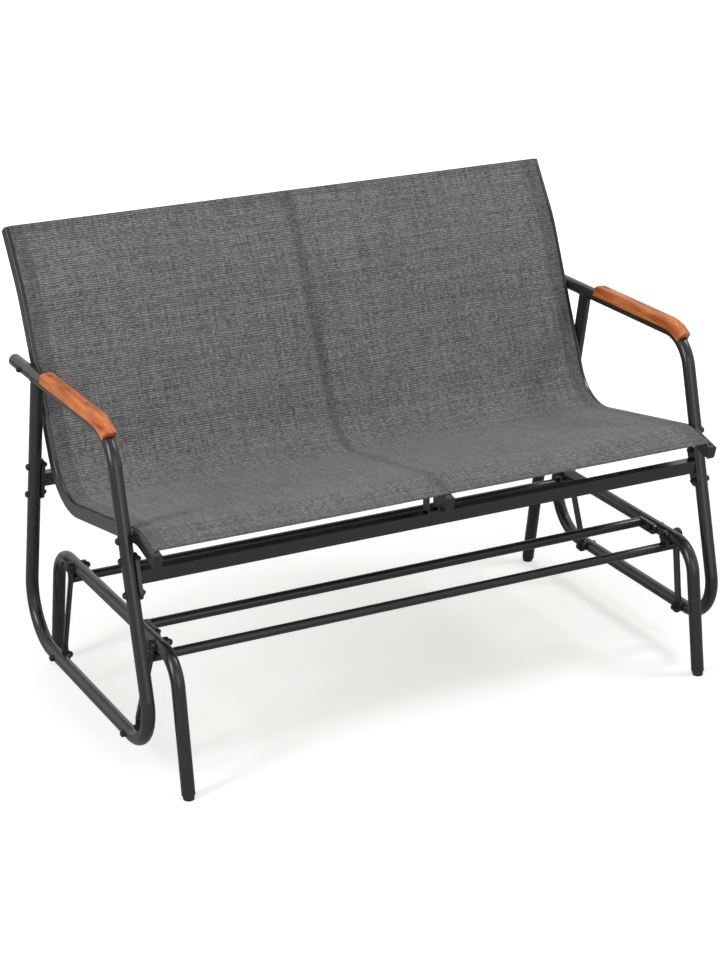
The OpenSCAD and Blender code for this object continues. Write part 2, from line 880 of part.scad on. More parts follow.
module frame_bolts() {
    head_x = frame_x + tube_r + saddle_t;
    color("black")
        both_sides() {
            for (spot = frame_bolt_spots)
                bolt(spot[0], head_x, plate_x - bolt_nut_h - thread_end, bolt_r, bolt_head_r,
                    bolt_head_h);
            for (spot = rail_bolt_spots)
                bolt(spot[0], head_x, rail_in_x - bolt_nut_h - thread_end, bolt_r,
                    bolt_head_r, bolt_head_h);
        }
}

module frame_nuts() {
    color("black")
        both_sides() {
            for (spot = frame_bolt_spots)
                nut(spot[0], plate_x - bolt_nut_h, plate_x, bolt_nut_r, bolt_r);
            for (spot = rail_bolt_spots)
                nut(spot[0], rail_in_x - bolt_nut_h, rail_in_x, bolt_nut_r, bolt_r);
        }
}

module frame_saddles() {
    color("black")
        both_sides() {
            for (spot = concat(frame_bolt_spots, rail_bolt_spots))
                saddle(spot[0], frame_x, spot[1], 1, saddle_t, bolt_head_r + 1, bolt_hole_r);
            for (spot = rail_bolt_spots)
                saddle(spot[0], frame_x, spot[1], -1, saddle_t, bolt_head_r + 2, bolt_hole_r);
        }
}

// Bracket on the front beam: a base and two ears that hold the centre rail
ear_in = rail_w / 2 + bracket_gap;

module centre_bracket_front() {
    y = front_beam_y;
    base_z = front_beam_z + beam_h / 2;
    color("dimgray")
        difference() {
            union() {
                block(y - bracket_w / 2, y + bracket_w / 2, base_z, base_z + bracket_t,
                    -ear_in - bracket_t, ear_in + bracket_t);
                both_sides()
                    upright(ear_in)
                        linear_extrude(bracket_t) {
                            translate([y - bracket_w / 2, base_z])
                                square([bracket_w, front_bolt_at[1] - base_z]);
                            translate(front_bolt_at)
                                circle(r = bracket_w / 2);
                        }
            }
            rod(front_bolt_at, -rail_w, rail_w, bolt_hole_r);
        }
}

// Bracket on the rear beam: a base against its front and two ears
module centre_bracket_rear() {
    y = rear_beam_y - beam_d / 2;
    z = rear_bolt_at[1];
    color("dimgray")
        difference() {
            union() {
                block(y - bracket_t, y, rear_beam_z - beam_h / 2, z + bracket_w / 2,
                    -ear_in - bracket_t, ear_in + bracket_t);
                both_sides()
                    upright(ear_in)
                        linear_extrude(bracket_t) {
                            translate([rear_bolt_at[0], z - bracket_w / 2])
                                square([y - rear_bolt_at[0], bracket_w]);
                            translate(rear_bolt_at)
                                circle(r = bracket_w / 2);
                        }
            }
            rod(rear_bolt_at, -rail_w, rail_w, bolt_hole_r);
        }
}

module bracket_bolts() {
    x = ear_in + bracket_t;
    color("black")
        for (at = [front_bolt_at, rear_bolt_at])
            bolt(at, x, -x - bolt_nut_h - thread_end, bolt_r, bolt_head_r, bolt_head_h);
}

module bracket_nuts() {
    x = ear_in + bracket_t;
    color("black")
        for (at = [front_bolt_at, rear_bolt_at])
            nut(at, -x - bolt_nut_h, -x, bolt_nut_r, bolt_r);
}

// Flat tube across the back of the three rails, hidden behind the sling
module back_spreader() {
    color("dimgray")
        difference() {
            upright(-spreader_half)
                translate(concat(spreader_at, [0]))
                    rotate([0, 0, heading(rail_path, 3) - 90])
                        translate([rail_h, -spreader_d / 2, 0])
                            difference() {
                                cube([spreader_depth, spreader_d, 2 * spreader_half]);
                                translate([beam_wall, beam_wall, -1])
                                    cube([spreader_depth - 2 * beam_wall,
                                        spreader_d - 2 * beam_wall, 2 * spreader_half + 2]);
                            }
            for (x = spreader_xs)
                spreader_hole(x, screw_r + 0.15, -eps);
        }
}

spreader_xs = [-spreader_screw_x, 0, spreader_screw_x];

module spreader_screws() {
    color("black")
        for (x = spreader_xs)
            upright(x)
                translate(concat(spreader_at, [0]))
                    rotate([0, 0, heading(rail_path, 3) - 90])
                        rotate([0, 90, 0])
                            translate([0, 0, rail_h - hollow - 0.5]) {
                                cylinder(h = hollow + 0.5 + spreader_depth, r = screw_r);
                                translate([0, 0, hollow + 0.5 + spreader_depth])
                                    cylinder(h = 2.2, r1 = 4, r2 = 2.8);
                            }
}

// Sling: one sheet from rail to rail, its edges turned into the channels round a rod
hem_r = 3.9;
hem_hole_r = 2.6;
rod_r = 2.5;
sling_lift = 0.12;
sling_path = trimmed(rail_path, sling_front_in, sling_top_in);

module sling_section() {
    half = sling_t / 2 + $swell;
    difference() {
        union() {
            translate([sling_lift - $swell, -rail_x - half])
                square([2 * half, 2 * (rail_x + half)]);
            for (s = [-1, 1]) {
                translate([-channel_in, s * rail_x - half])
                    square([channel_in + half, 2 * half]);
                translate([-channel_in, s * rail_x])
                    circle(r = hem_r + $swell);
            }
        }
        for (s = [-1, 1])
            translate([-channel_in, s * rail_x])
                circle(r = hem_hole_r - $swell);
    }
}

module sling() {
    color("gray")
        upright(0)
            sweep(sling_path)
                sling_section();
}

module sling_rods() {
    color("white")
        both_sides()
            upright(rail_x)
                sweep(sling_path)
                    translate([-channel_in, 0])
                        circle(r = rod_r + $swell);
}

mirror([1, 0, 0]) stand_side();  // stand_side_left
stand_side();  // stand_side_right
crossbar(upper_front);  // crossbar_front
crossbar(upper_rear);  // crossbar_rear
crossbar_middle();
foot_plugs();
upper_pivot_bolts();
upper_pivot_nuts();
upper_pivot_spacers();
crossbar_bolts();
crossbar_nuts();
link(-1, false);  // link_front_left
link(1, false);  // link_front_right
link(-1, true);  // link_rear_left
link(1, true);  // link_rear_right
bushings(-1, false);  // bushings_front_left
bushings(1, false);  // bushings_front_right
bushings(-1, true);  // bushings_rear_left
bushings(1, true);  // bushings_rear_right
mirror([1, 0, 0]) swing_frame();  // swing_frame_left
swing_frame();  // swing_frame_right
arm_end_plugs();
mirror([1, 0, 0]) armrest();  // armrest_left
armrest();  // armrest_right
armrest_screws();
mirror([1, 0, 0]) seat_rail();  // seat_rail_left
seat_rail();  // seat_rail_right
seat_rail_centre();
rail_front_caps();
rail_top_caps();
beam(front_beam_y, front_beam_z, front_lean);  // beam_front
beam(rear_beam_y, rear_beam_z, rear_lean);  // beam_rear
centre_bracket_front();
centre_bracket_rear();
bracket_bolts();
bracket_nuts();
back_spreader();
spreader_screws();
sling();
sling_rods();
lower_pivot_bolts();
lower_pivot_nuts();
lower_pivot_spacers();
frame_bolts();
frame_nuts();
frame_saddles();
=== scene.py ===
import bpy
import json
import math
import numpy as np
from mathutils import Matrix, Vector


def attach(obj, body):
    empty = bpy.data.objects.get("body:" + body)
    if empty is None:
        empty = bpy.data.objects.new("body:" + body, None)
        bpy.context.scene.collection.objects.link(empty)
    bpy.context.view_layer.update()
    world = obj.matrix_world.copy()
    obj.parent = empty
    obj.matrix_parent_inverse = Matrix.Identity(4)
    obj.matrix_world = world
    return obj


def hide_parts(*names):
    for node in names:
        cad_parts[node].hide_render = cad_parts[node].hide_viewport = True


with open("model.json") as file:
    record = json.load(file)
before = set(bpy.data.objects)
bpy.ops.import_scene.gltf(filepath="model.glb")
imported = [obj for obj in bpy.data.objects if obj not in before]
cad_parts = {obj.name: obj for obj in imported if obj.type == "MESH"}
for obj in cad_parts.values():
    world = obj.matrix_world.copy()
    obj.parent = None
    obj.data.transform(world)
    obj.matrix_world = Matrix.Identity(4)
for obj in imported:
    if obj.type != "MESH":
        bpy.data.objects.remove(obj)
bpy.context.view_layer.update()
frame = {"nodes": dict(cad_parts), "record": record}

nodes = frame["nodes"]
print("frame loaded:", len(nodes), "nodes")


# A new object in the scene's own collection
def addObject(name, data):
    made = bpy.data.objects.new(name, data)
    bpy.context.scene.collection.objects.link(made)
    return made


camera = {
    "place": (-2.0387, -3.8429, 2.0812),
    "yaw": -27.767,  # degrees, 0 looks along +Y
    "pitch": 21.344,  # degrees below the horizon
    "roll": 0.136,
    "lens": 91.02, "sensor": 36.0,  # mm, along the picture's long side
}

yaw, pitch, roll = (math.radians(camera[k]) for k in ("yaw", "pitch", "roll"))
camData = bpy.data.cameras.new("viewCamera")
camData.lens, camData.sensor_width = camera["lens"], camera["sensor"]
camObject = addObject("viewCamera", camData)
camObject.matrix_world = (Matrix.Translation(camera["place"]) @ Matrix.Rotation(yaw, 4, "Z")
                          @ Matrix.Rotation(math.pi / 2 - pitch, 4, "X")
                          @ Matrix.Rotation(roll, 4, "Z"))
bpy.context.scene.camera = camObject
print("camera ready")


# A socket that takes part in sums: each operator adds a Math node to its tree
class Wire:
    def __init__(self, tree, socket):
        self.tree, self.socket = tree, socket

    def math(self, operation, other=None, flip=False):
        pair = (other, self) if flip else (self, other)
        inputs = {i: v for i, v in enumerate(pair) if v is not None}
        return self.tree.add("ShaderNodeMath", {"operation": operation}, inputs)

    def __add__(self, other): return self.math("ADD", other)
    def __radd__(self, other): return self.math("ADD", other)
    def __sub__(self, other): return self.math("SUBTRACT", other)
    def __rsub__(self, other): return self.math("SUBTRACT", other, flip=True)
    def __mul__(self, other): return self.math("MULTIPLY", other)
    def __rmul__(self, other): return self.math("MULTIPLY", other)
    def __truediv__(self, other): return self.math("DIVIDE", other)
    def __mod__(self, other): return self.math("FLOORED_MODULO", other)
    def __pow__(self, other): return self.math("POWER", other)
    def __lt__(self, other): return self.math("LESS_THAN", other)
    def abs(self): return self.math("ABSOLUTE")
    def floor(self): return self.math("FLOOR")
    def cos(self): return self.math("COSINE")
    def high(self, other): return self.math("MAXIMUM", other)
    def low(self, other): return self.math("MINIMUM", other)

    # 0 at a and before, 1 at b and past it, smooth between; b may be the smaller
    def step(self, a, b):
        return self.tree.add("ShaderNodeMapRange", {"interpolation_type": "SMOOTHSTEP"},
                             {"Value": self, "From Min": a, "From Max": b})

    # Another output of the same node
    def output(self, name):
        return Wire(self.tree, self.socket.node.outputs[name])


# A node tree and one way of adding nodes to it
class Tree:
    def __init__(self, nodeTree):
        self.nodes, self.links = nodeTree.nodes, nodeTree.links

    # One node: its type, its settings, then values or wires for its sockets
    def add(self, kind, settings=None, inputs=None, out=0):
        node = self.nodes.new(kind)
        for key, value in (settings or {}).items():
            setattr(node, key, value)
        for key, value in (inputs or {}).items():
            self.feed(node.inputs[key], value)
        return Wire(self, node.outputs[out])

    def feed(self, socket, value):
        if isinstance(value, Wire):
            self.links.new(value.socket, socket)
        else:
            socket.default_value = value

    def split(self, vector):
        parts = self.add("ShaderNodeSeparateXYZ", {}, {0: vector})
        return [parts.output(i) for i in range(3)]

    def join(self, x=0.0, y=0.0, z=0.0):
        return self.add("ShaderNodeCombineXYZ", {}, {0: x, 1: y, 2: z})

    def stretch(self, vector, factors):
        return self.add("ShaderNodeVectorMath", {"operation": "MULTIPLY"},
                        {0: vector, 1: factors})

    def noise(self, vector, scale, detail=2.0, roughness=0.5):
        inputs = {"Vector": vector, "Scale": scale, "Detail": detail, "Roughness": roughness}
        return self.add("ShaderNodeTexNoise", {}, inputs, out="Fac")

    def blend(self, factor, a, b, mode="MIX"):
        settings = {"data_type": "RGBA", "blend_type": mode}
        colours = [c if isinstance(c, Wire) else (*c, 1.0) for c in (a, b)]
        return self.add("ShaderNodeMix", settings,
                        {"Factor": factor, 6: colours[0], 7: colours[1]}, out=2)

    def ramp(self, factor, stops):
        wire = self.add("ShaderNodeValToRGB", {}, {0: factor}, out="Color")
        elements = wire.socket.node.color_ramp.elements
        while len(elements) < len(stops):
            elements.new(0.5)
        for element, (place, colour) in zip(elements, stops):
            element.position, element.color = place, (*colour, 1.0)
        return wire

    def bump(self, height, strength, distance):
        return self.add("ShaderNodeBump", {},
                        {"Height": height, "Strength": strength, "Distance": distance})


# A material with one Principled shader
class Finish(Tree):
    def __init__(self, name, **constants):
        self.material = bpy.data.materials.new(name)
        self.material.use_nodes = True
        super().__init__(self.material.node_tree)
        self.nodes.clear()
        self.shader = self.nodes.new("ShaderNodeBsdfPrincipled")
        self.surface = self.nodes.new("ShaderNodeOutputMaterial").inputs["Surface"]
        self.links.new(self.shader.outputs[0], self.surface)
        self.drive(**constants)

    def drive(self, **sockets):
        for key, value in sockets.items():
            self.feed(self.shader.inputs[key.replace("_", " ")], value)

    def place(self):
        return self.add("ShaderNodeTexCoord", out="Object")


def grey(v, warm=0.0):
    return (v * (1 + warm), v, v * (1 - warm))


coat = {
    "dark": 0.0150, "light": 0.0210, "warm": 0.03,
    "clouds": 9.0, "peel": 520.0,  # noise scales
    "roughness": 0.18, "cloudRough": 0.08, "peelRough": 0.05,
    "peelBump": 0.35, "peelDepth": 0.00004,
}


# Powder coat: two near-black greys drifting into each other, with orange peel
def powderCoat():
    f = Finish("powderCoat", Specular_IOR_Level=0.5, IOR=1.5)
    at = f.place()
    cloud = f.noise(at, coat["clouds"], detail=3.0)
    peel = f.noise(at, coat["peel"], detail=1.0)
    dark, light = (grey(coat[k], coat["warm"]) for k in ("dark", "light"))
    f.drive(Base_Color=f.blend(cloud, dark, light),
            Roughness=coat["roughness"] + coat["cloudRough"] * cloud + coat["peelRough"] * peel,
            Normal=f.bump(peel, coat["peelBump"], coat["peelDepth"]))
    return f.material


bolts = {
    "tone": 0.012, "rubbed": 0.045, "warm": 0.03,
    "clouds": 60.0, "rubFrom": 0.60, "rubTo": 0.74,  # where the clouds are rubbed metal
    "roughness": 0.5, "rubShine": 0.15, "rubMetal": 0.3,
    "grain": 1400.0, "grainBump": 0.3, "grainDepth": 0.00005,
}


# Blackened fasteners: rougher than the coat, with a little rubbed metal
def blackFastener():
    f = Finish("blackFastener", Specular_IOR_Level=0.5)
    at = f.place()
    cloud = f.noise(at, bolts["clouds"], detail=4.0, roughness=0.6)
    rubbed = cloud.step(bolts["rubFrom"], bolts["rubTo"])
    grain = f.noise(at, bolts["grain"])
    f.drive(Base_Color=f.blend(rubbed, grey(bolts["tone"]), grey(bolts["rubbed"], bolts["warm"])),
            Roughness=bolts["roughness"] - bolts["rubShine"] * rubbed,
            Metallic=bolts["rubMetal"] * rubbed,
            Normal=f.bump(grain, bolts["grainBump"], bolts["grainDepth"]))
    return f.material


moulded = {
    "capTone": 0.018, "capRoughness": 0.48, "rodTone": 0.60, "rodRoughness": 0.40,
    "clouds": 30.0, "spread": 0.15, "cloudRough": 0.08,
    "grain": 1100.0, "grainBump": 0.35, "grainDepth": 0.00006,
}


# Moulded plastic: fine even grain
def mouldedPlastic(name, tone, roughness):
    f = Finish(name, Specular_IOR_Level=0.45)
    at = f.place()
    grain = f.add("ShaderNodeTexVoronoi", {"feature": "SMOOTH_F1"},
                  {"Vector": at, "Scale": moulded["grain"]})
    cloud = f.noise(at, moulded["clouds"])
    dark, light = (grey(tone * (1 + way * moulded["spread"])) for way in (-1, 1))
    f.drive(Base_Color=f.blend(cloud, dark, light),
            Roughness=roughness + moulded["cloudRough"] * cloud,
            Normal=f.bump(grain, moulded["grainBump"], moulded["grainDepth"]))
    return f.material


weave = {
    "warpPitch": 0.0021, "weftPitch": 0.0023,  # metres, thread to thread
    "drift": 9.0, "warpWander": 0.9, "weftWander": 1.44,  # noise scale and threads of slow drift
    "ripple": (30.0, 55.0), "waver": 1.3,  # the same from row to row, weft alone
    "softOver": 0.3,  # how gently a thread dives under the next
    "back": 2.5,  # power of a thread's round back
    "warpDip": 0.65, "weftDip": 0.35,  # how far a back sinks towards its ends
    "dark": 0.050, "mid": 0.146, "light": 0.300,  # yarns
    "toneLow": 0.18, "tone": 0.52, "toneHigh": 0.82,  # where the darkest, usual and lightest lie
    "slub": (140.0, 2.71), "slubTone": 0.66,  # dashes along a weft: scales and strength
    "warpRun": (3.17, 9.0), "warpTone": 0.36,  # runs along a warp thread
    "longRun": (5.0, 1.37), "longTone": 0.36,  # longer runs of one weft
    "pair": 0.10, "pairSlub": 0.16,  # how much lighter every other weft is, more in its dashes
    "clouds": 8.0, "cloudTone": 0.06, "warpDark": 0.08,
    "gap": 0.70, "gapHeight": 0.55,  # painted shade between threads: share of the colour left in the gaps, and how high the gaps reach
    "bump": 0.6, "depth": 0.0004,
    "centreSoft": (0.00345, 0.01725), "centreShade": 0.32,  # painted shade of the centre rail seen through the open weave
    "pocket": 0.029, "pocketSoft": (-0.004, 0.003), "pocketShade": 0.28,  # painted shade along a side rail, where the rail and the pocket lie behind the open weave
    "hemSoft": 0.001, "hemShade": 0.12,
    "foldSoft": (0.0048, 0.0022), "foldShade": 0.45,  # painted shade along the rolled front edge
    "stitch": 0.0036, "stitchHalf": 0.00035, "stitchShare": 0.74,
    "stitchIn": 0.004, "stitchOut": 0.0025,  # of an end hem's row and a pocket's row
    "stitchRise": 1.4, "stitchTone": 0.075,
}


# Woven sling on its own UV map, in metres: u across, v along. Warp threads rise where
# cos(pi (weft number + warp number)) is high and weft threads where it is low; each
# thread has its own run of light and dark, and every other weft is the lighter yarn.
# The last number in each join keeps that noise apart from the others
def wovenSling(railX, hemV, lengthV):
    f = Finish("wovenSling", Roughness=0.72, Specular_IOR_Level=0.3,
               Sheen_Weight=0.12, Sheen_Roughness=0.5)
    u, v, _ = f.split(f.add("ShaderNodeUVMap", {"uv_map": "clothMetres"}))
    drift = f.noise(f.join(u, v, 9.0), weave["drift"]) - 0.5
    rippleU, rippleV = weave["ripple"]
    ripple = f.noise(f.join(u * rippleU, v * rippleV, 4.0), 1.0, detail=1.0) - 0.5
    a = u / weave["warpPitch"] + weave["warpWander"] * drift
    b = v / weave["weftPitch"] - weave["weftWander"] * drift + weave["waver"] * ripple
    warpNumber, weftNumber = a.floor(), b.floor()
    over = (math.pi * (weftNumber + warpNumber)).cos()  # 1 warp on top, -1 weft on top
    warpOn = over.step(-weave["softOver"], weave["softOver"])
    warpBack, weftBack = (1 - (2 * (t % 1.0) - 1).abs() ** weave["back"] for t in (a, b))
    warpDip, weftDip = weave["warpDip"], weave["weftDip"]
    height = (warpOn * warpBack * (1 - warpDip + warpDip * weftBack)
              + (1 - warpOn) * weftBack * (1 - weftDip + weftDip * warpBack))

    warpScale, warpLength = weave["warpRun"]
    warpTone = f.noise(f.join(warpNumber * warpScale, v * warpLength, 0.0), 1.0)
    slubLength, slubScale = weave["slub"]
    dash = f.noise(f.join(u * slubLength, weftNumber * slubScale, 7.0), 1.0, detail=1.0)
    longLength, longScale = weave["longRun"]
    longTone = f.noise(f.join(u * longLength, weftNumber * longScale, 3.0), 1.0, roughness=0.6)
    cloud = f.noise(f.join(u, v, 5.0), weave["clouds"])
    pair = weftNumber % 2.0 - 0.5
    tone = (weave["tone"] + pair * (weave["pair"] + weave["pairSlub"] * dash)
            + weave["slubTone"] * (dash - 0.5) + weave["warpTone"] * (warpTone - 0.5)
            + weave["longTone"] * (longTone - 0.5) + weave["cloudTone"] * (cloud - 0.5)
            - weave["warpDark"] * warpOn)
    stops = [(i / 2, grey(weave[k])) for i, k in enumerate(("dark", "mid", "light"))]
    yarn = f.ramp(tone.step(weave["toneLow"], weave["toneHigh"]), stops)
    # painted shade in the gaps between threads, where the weave lies low
    gapShade = height.step(0.0, weave["gapHeight"]) * (1 - weave["gap"]) + weave["gap"]

    side = u.abs()
    seam = railX - weave["pocket"]
    # painted shade: a darker band where the centre rail lies behind the open weave
    centreRailShade = 1 - side.step(*weave["centreSoft"])
    # painted shade: a darker band from the pocket's seam out over the side rail, seen through the
    # open weave
    sideRailShade = side.step(*(seam + s for s in weave["pocketSoft"]))
    soft = weave["hemSoft"]
    hemBand = v.step(hemV, hemV - soft).high(v.step(lengthV - hemV, lengthV - hemV + soft))
    # painted shade: a thin dark line along the rolled front edge
    fold = (v - 0.5 * hemV).abs().step(*weave["foldSoft"])
    bands = (centreRailShade * weave["centreShade"]).high(sideRailShade * weave["pocketShade"])
    shade = 1 - bands.high(hemBand * weave["hemShade"]).high(fold * weave["foldShade"])
    # lock stitches: short runs along each seam
    half, run, share = weave["stitchHalf"], weave["stitch"], weave["stitchShare"]
    endSeam = hemV - weave["stitchIn"]
    sideRow = (side - seam - weave["stitchOut"]).abs() < half
    endRows = ((v - endSeam).abs() < half).high((v - (lengthV - endSeam)).abs() < half)
    sideRow = sideRow * ((v / run % 1.0) < share)
    stitches = sideRow.high(endRows * ((u / run % 1.0) < share))
    # the painted shade of the gaps and the bands darkens the yarn's colour
    light = gapShade * shade
    body = f.blend(1.0, yarn, f.join(light, light, light), "MULTIPLY")
    relief = height.high(weave["stitchRise"] * stitches)
    f.drive(Base_Color=f.blend(stitches, body, grey(weave["stitchTone"])),
            Normal=f.bump(relief, weave["bump"], weave["depth"]))
    return f.material


wood = {
    "deep": (0.19, 0.030, 0.008), "mid": (0.55, 0.140, 0.028), "pale": (0.84, 0.300, 0.080),
    "stops": (0.30, 0.49, 0.68),  # where these lie in the figure
    "dark": (0.075, 0.014, 0.006),  # knots and pores
    "knots": [  # place along Y, reach along and across the grain, strength
        (0.098, 0.016, 0.0075, 0.85), (-0.078, 0.012, 0.0060, 0.70), (0.012, 0.022, 0.0032, 0.45),
    ],
    "knotX": 0.5965, "knotWaver": 0.0025,
    "waver": (20.0, 7.0, 20.0), "figure": (60.0, 12.0, 60.0),  # noise scales along X, Y and Z
    "pores": (1700.0, 130.0, 1700.0), "poreFrom": 0.62, "poreTo": 0.72, "poreDark": 0.45,
    "rings": 260.0, "ringRun": 9.0,  # noise scales across and along the grain
    "bendX": 3.0, "bendZ": 2.0, "knotBend": 5.0,  # how far the waver and a knot shift the rings
    "ringShare": 0.55,
    "roughness": 0.40, "ringRough": 0.16,
    "ringRise": 0.5, "poreDrop": 0.8, "bump": 0.3, "depth": 0.00015,
}


# Oiled hardwood: grain drawn out along Y, wavering round the knots, with pores
def oiledWood():
    f = Finish("oiledWood", Specular_IOR_Level=0.4, Coat_Weight=0.10, Coat_Roughness=0.3)
    at = f.place()
    x, y, z = f.split(at)
    waver = f.noise(f.stretch(at, wood["waver"]), 1.0)
    knots = 0.0
    for spot, along, across, strength in wood["knots"]:
        dy = (y - spot) / along
        dx = (x.abs() - wood["knotX"] - wood["knotWaver"] * waver) / across
        near = 1 - (dx * dx + dy * dy) ** 0.5
        knots = near.high(0.0) * strength + knots
    ringX = x * wood["rings"] + waver * wood["bendX"] + knots * wood["knotBend"]
    ringZ = z * wood["rings"] + waver * wood["bendZ"]
    rings = f.noise(f.join(ringX, y * wood["ringRun"], ringZ), 1.0, detail=4.0, roughness=0.62)
    figure = f.noise(f.stretch(at, wood["figure"]), 1.0, detail=3.0)
    pores = f.noise(f.stretch(at, wood["pores"]), 1.0, detail=1.0)
    pores = pores.step(wood["poreFrom"], wood["poreTo"])
    share = wood["ringShare"]
    stops = [(s, wood[k]) for s, k in zip(wood["stops"], ("deep", "mid", "pale"))]
    body = f.ramp(rings * share + figure * (1 - share), stops)
    body = f.blend(knots.low(1.0), body, wood["dark"])
    body = f.blend(pores * wood["poreDark"], body, wood["dark"])
    relief = rings * wood["ringRise"] - pores * wood["poreDrop"]
    f.drive(Base_Color=body, Roughness=wood["roughness"] + wood["ringRough"] * rings,
            Normal=f.bump(relief, wood["bump"], wood["depth"]))
    return f.material


# Grid of points, rows by columns, to quads between neighbours, closed where asked
def gridFaces(rows, columns, closeRows=False, closeColumns=False):
    i, j = np.meshgrid(np.arange(rows - (not closeRows)), np.arange(columns - (not closeColumns)),
                       indexing="ij")
    nextI, nextJ = (i + 1) % rows, (j + 1) % columns
    corners = [i * columns + j, i * columns + nextJ, nextI * columns + nextJ, nextI * columns + j]
    return np.stack(corners, -1).reshape(-1, 4)


def makePiece(name, points, faces, material, body, uv=None):
    mesh = bpy.data.meshes.new(name)
    mesh.from_pydata(points.tolist(), [], faces.tolist())
    if uv is not None:
        layer = mesh.uv_layers.new(name="clothMetres")
        corners = np.empty(len(mesh.loops), np.int32)
        mesh.loops.foreach_get("vertex_index", corners)
        layer.data.foreach_set("uv", np.asarray(uv, np.float32)[corners].ravel())
    mesh.polygons.foreach_set("use_smooth", np.full(len(mesh.polygons), True))
    mesh.materials.append(material)
    mesh.update()
    piece = addObject(name, mesh)
    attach(piece, body)
    return piece


# Straights and arcs through corners (y, z, radius): the arc leaves each leg at
# radius * tan(turn / 2) from the corner and turns evenly. Gives y, z and heading
def bentLine(corners, step, arcStep):
    spots = np.array([c[:2] for c in corners], float)
    legs = np.diff(spots, axis=0)
    lengths = np.hypot(legs[:, 0], legs[:, 1])
    headings = np.arctan2(legs[:, 1], legs[:, 0])
    turns = np.diff(headings)
    turns = (turns + math.pi) % (2 * math.pi) - math.pi
    radii = [c[2] for c in corners[1:-1]]
    cuts = np.array([0.0] + [r * math.tan(abs(t) / 2) for r, t in zip(radii, turns)] + [0.0])
    parts = []
    for i, (length, heading) in enumerate(zip(lengths, headings)):
        way = np.array([math.cos(heading), math.sin(heading)])
        run = length - cuts[i] - cuts[i + 1]
        t = np.linspace(0, run, max(2, int(run / step) + 1))
        line = spots[i] + (cuts[i] + t)[:, None] * way
        parts.append(np.column_stack([line, np.full(len(t), heading)]))
        if i < len(turns):
            turn, bend = turns[i], math.copysign(radii[i], turns[i])
            centre = line[-1] + bend * np.array([-way[1], way[0]])
            angle = heading + np.linspace(0, turn, max(3, int(abs(turn) / arcStep)))[1:-1]
            arc = centre + bend * np.column_stack([np.sin(angle), -np.cos(angle)])
            parts.append(np.column_stack([arc, angle]))
    return np.concatenate(parts)


# Distance from the first point, added up over the steps of two coordinates
def lengthAlong(a, b):
    return np.concatenate([[0], np.cumsum(np.hypot(np.diff(a), np.diff(b)))])


midY = 0.3587814  # the middle of the bench in the corners' y


# A bent line through corners with y from the middle of the bench, and its distances
def benchLine(corners, step, arcDegrees):
    line = bentLine([(y - midY, z, r) for y, z, r in corners], step, math.radians(arcDegrees))
    return line, lengthAlong(line[:, 0], line[:, 1])


rail = {
    "corners": [(0.034, 0.458, 0), (0.110, 0.478, 0.100), (0.475, 0.408, 0.095),
                (0.635, 0.765, 0.300), (0.707, 0.872, 0)],
    "x": 0.57346,  # slot of a side rail
    "half": 0.009,  # width that the cloth rests on, from the rail's middle
}
cloth = {
    "thick": 0.0008, "lift": 0.00055,  # middle of the sheet over the rails
    "frontIn": 0.013, "topIn": -0.0036,  # from the rails' ends
    "hem": 0.017, "hemStep": 0.0042, "hemClear": 0.006,
    "rollIn": 0.001, "hemIn": 0.002,  # where a hem's roll and its flat layers begin
    "slotDepth": 0.0030, "slotBend": 0.0012,
    "slotEnd": 0.002, "slotFade": 0.003, "slotLeast": 0.05,  # near the caps at the top
    "step": 0.010, "arcDegrees": 4.0, "rollPoints": 7, "layerPoints": 6,  # mesh, along
    "columns": 45, "lipPoints": 5,  # mesh, across, from a side rail to the middle
    # how stretched cloth leaves the rails between them: crest, seat bend, upper back
    "pulls": (-0.0022, 0.0040, -0.0016), "pullReach": (0.07, 0.10, 0.12),
    "sway": 0.00035, "swayRate": 9.0, "swayApart": 2.1,
}


